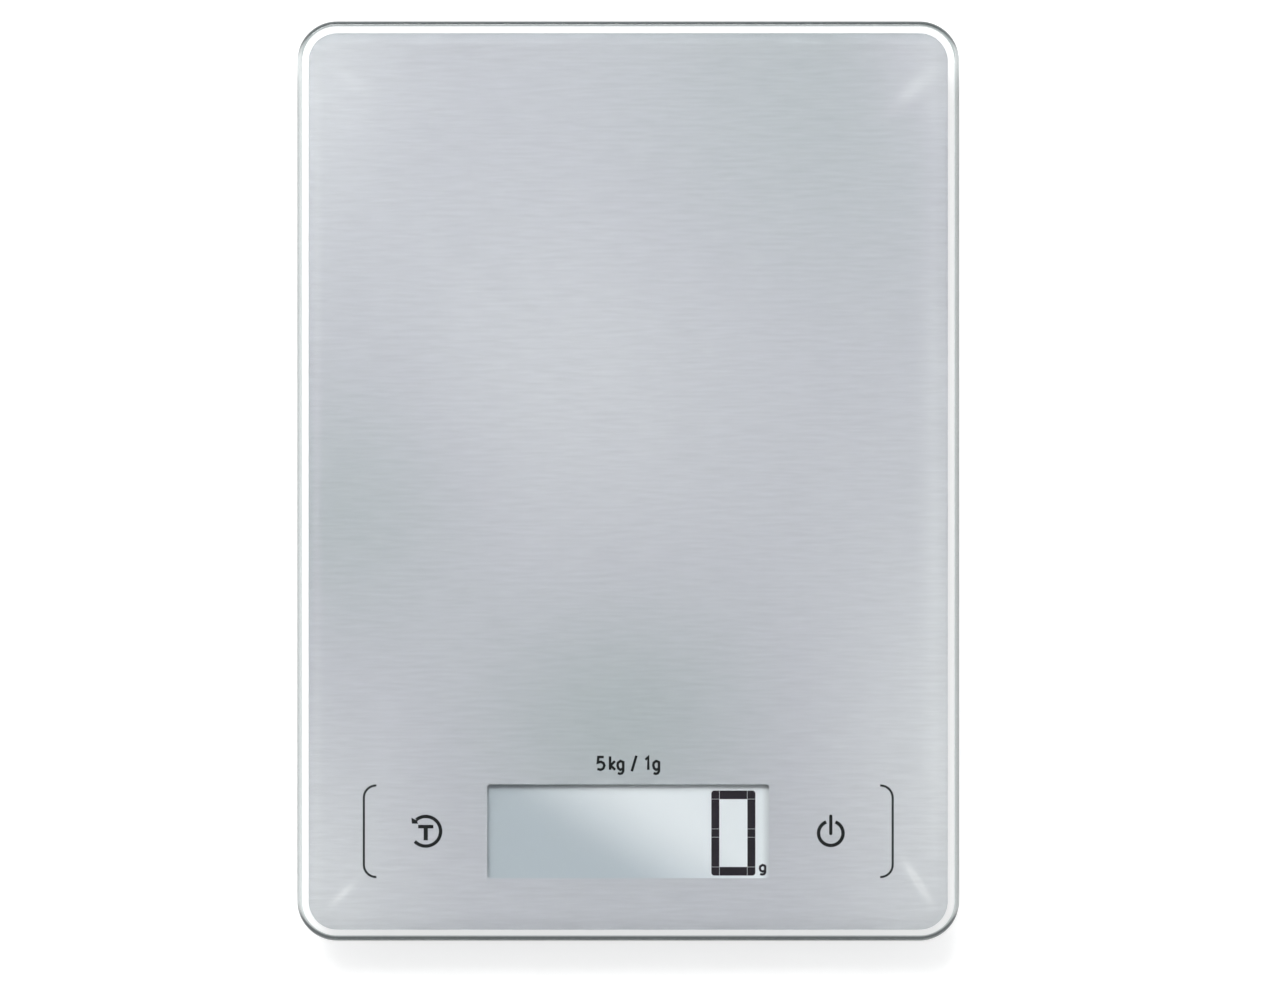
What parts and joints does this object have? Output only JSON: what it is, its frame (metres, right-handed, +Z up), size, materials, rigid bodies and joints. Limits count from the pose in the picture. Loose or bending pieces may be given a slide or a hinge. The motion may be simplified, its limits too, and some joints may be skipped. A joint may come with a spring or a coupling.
{
  "type": "kitchen scale",
  "caption": "Flat digital kitchen scale: clear glass platform over a brushed silver face with a display window and touch keys, on a slim tray with sprung load-cell feet.",
  "frame": {"origin": "middle of the footprint, on the table", "axes": "+Z up, +Y away from the user towards the rear edge, +X to the user's right; the display is at the -Y end"},
  "size_m": [0.2, 0.279, 0.0208],
  "materials": {
    "glass": "clear tempered, polished edge",
    "brushed_film": "metallised, finely brushed silver",
    "foam_tape": "matt foam",
    "tray_plastic": "finely textured grey",
    "foot_plastic": "satin dark grey",
    "foot_rubber": "matt soft rubber",
    "contact_metal": "nickel plated",
    "load_cell_steel": "zinc plated",
    "gauge_film": "amber film",
    "cell_sleeve": "plain shrink sleeve",
    "board_laminate": "green solder mask",
    "chip_plastic": "black moulding",
    "display_glass": "grey liquid-crystal display with a matt polariser",
    "white_plastic": "white",
    "connector_rubber": "pink silicone",
    "conductive_foam": "open foam",
    "lead_grey": "grey insulation",
    "lead_red": "red insulation",
    "lead_black": "black insulation"
  },
  "bodies": {
    "root": {"glass_platform": "glass", "printed_film": "brushed_film", "bonding_tape": "foam_tape", "bottom_tray": "tray_plastic", "battery_1": "cell_sleeve", "battery_2": "cell_sleeve", "battery_3": "cell_sleeve", "contact_spring_1": "contact_metal", "contact_spring_2": "contact_metal", "contact_spring_3": "contact_metal", "negative_contact": "contact_metal", "positive_contact": "contact_metal", "bridge_contact_left": "contact_metal", "bridge_contact_right": "contact_metal", "circuit_board": "board_laminate", "controller_chip": "chip_plastic", "lcd_panel": "display_glass", "lcd_frame": "white_plastic", "lcd_reflector": "white_plastic", "lcd_connector_front": "connector_rubber", "lcd_connector_rear": "connector_rubber", "tare_touch_pad": "conductive_foam", "power_touch_pad": "conductive_foam", "unit_switch": "chip_plastic", "board_screw_1": "contact_metal", "board_screw_2": "contact_metal", "board_screw_3": "contact_metal", "board_screw_4": "contact_metal", "load_cell_front_left": "load_cell_steel", "strain_gauge_front_left": "gauge_film", "cell_lead_front_left": "lead_grey", "load_cell_front_right": "load_cell_steel", "strain_gauge_front_right": "gauge_film", "cell_lead_front_right": "lead_grey", "load_cell_rear_left": "load_cell_steel", "strain_gauge_rear_left": "gauge_film", "cell_lead_rear_left": "lead_grey", "load_cell_rear_right": "load_cell_steel", "strain_gauge_rear_right": "gauge_film", "cell_lead_rear_right": "lead_grey", "battery_lead_negative": "lead_black", "battery_lead_positive": "lead_red"},
    "foot_front_left": {"foot_cup_front_left": "foot_plastic", "foot_pad_front_left": "foot_rubber"},
    "foot_front_right": {"foot_cup_front_right": "foot_plastic", "foot_pad_front_right": "foot_rubber"},
    "foot_rear_left": {"foot_cup_rear_left": "foot_plastic", "foot_pad_rear_left": "foot_rubber"},
    "foot_rear_right": {"foot_cup_rear_right": "foot_plastic", "foot_pad_rear_right": "foot_rubber"},
    "battery_cover": {"battery_cover": "tray_plastic"},
    "unit_button": {"unit_button": "foot_plastic", "switch_plunger": "white_plastic"}
  },
  "joints": [
    {"name": "foot_front_left_press", "type": "slide", "parent": "root", "child": "foot_front_left", "axis": [0, 0, 1], "range_m": [0, 0.0005], "stiffness_N_per_m": 20000, "deforming": ["load_cell_front_left"]},
    {"name": "foot_front_right_press", "type": "slide", "parent": "root", "child": "foot_front_right", "axis": [0, 0, 1], "range_m": [0, 0.0005], "stiffness_N_per_m": 20000, "deforming": ["load_cell_front_right"]},
    {"name": "foot_rear_left_press", "type": "slide", "parent": "root", "child": "foot_rear_left", "axis": [0, 0, 1], "range_m": [0, 0.0005], "stiffness_N_per_m": 20000, "deforming": ["load_cell_rear_left"]},
    {"name": "foot_rear_right_press", "type": "slide", "parent": "root", "child": "foot_rear_right", "axis": [0, 0, 1], "range_m": [0, 0.0005], "stiffness_N_per_m": 20000, "deforming": ["load_cell_rear_right"]},
    {"name": "battery_cover_hinge", "type": "hinge", "parent": "root", "child": "battery_cover", "pos_m": [0, 0.05365, 0.0022], "axis": [1, 0, 0], "range_deg": [0, 75]},
    {"name": "unit_button_press", "type": "slide", "parent": "root", "child": "unit_button", "axis": [0, 0, 1], "range_m": [0, 0.0006], "stiffness_N_per_m": 2500}
  ]
}
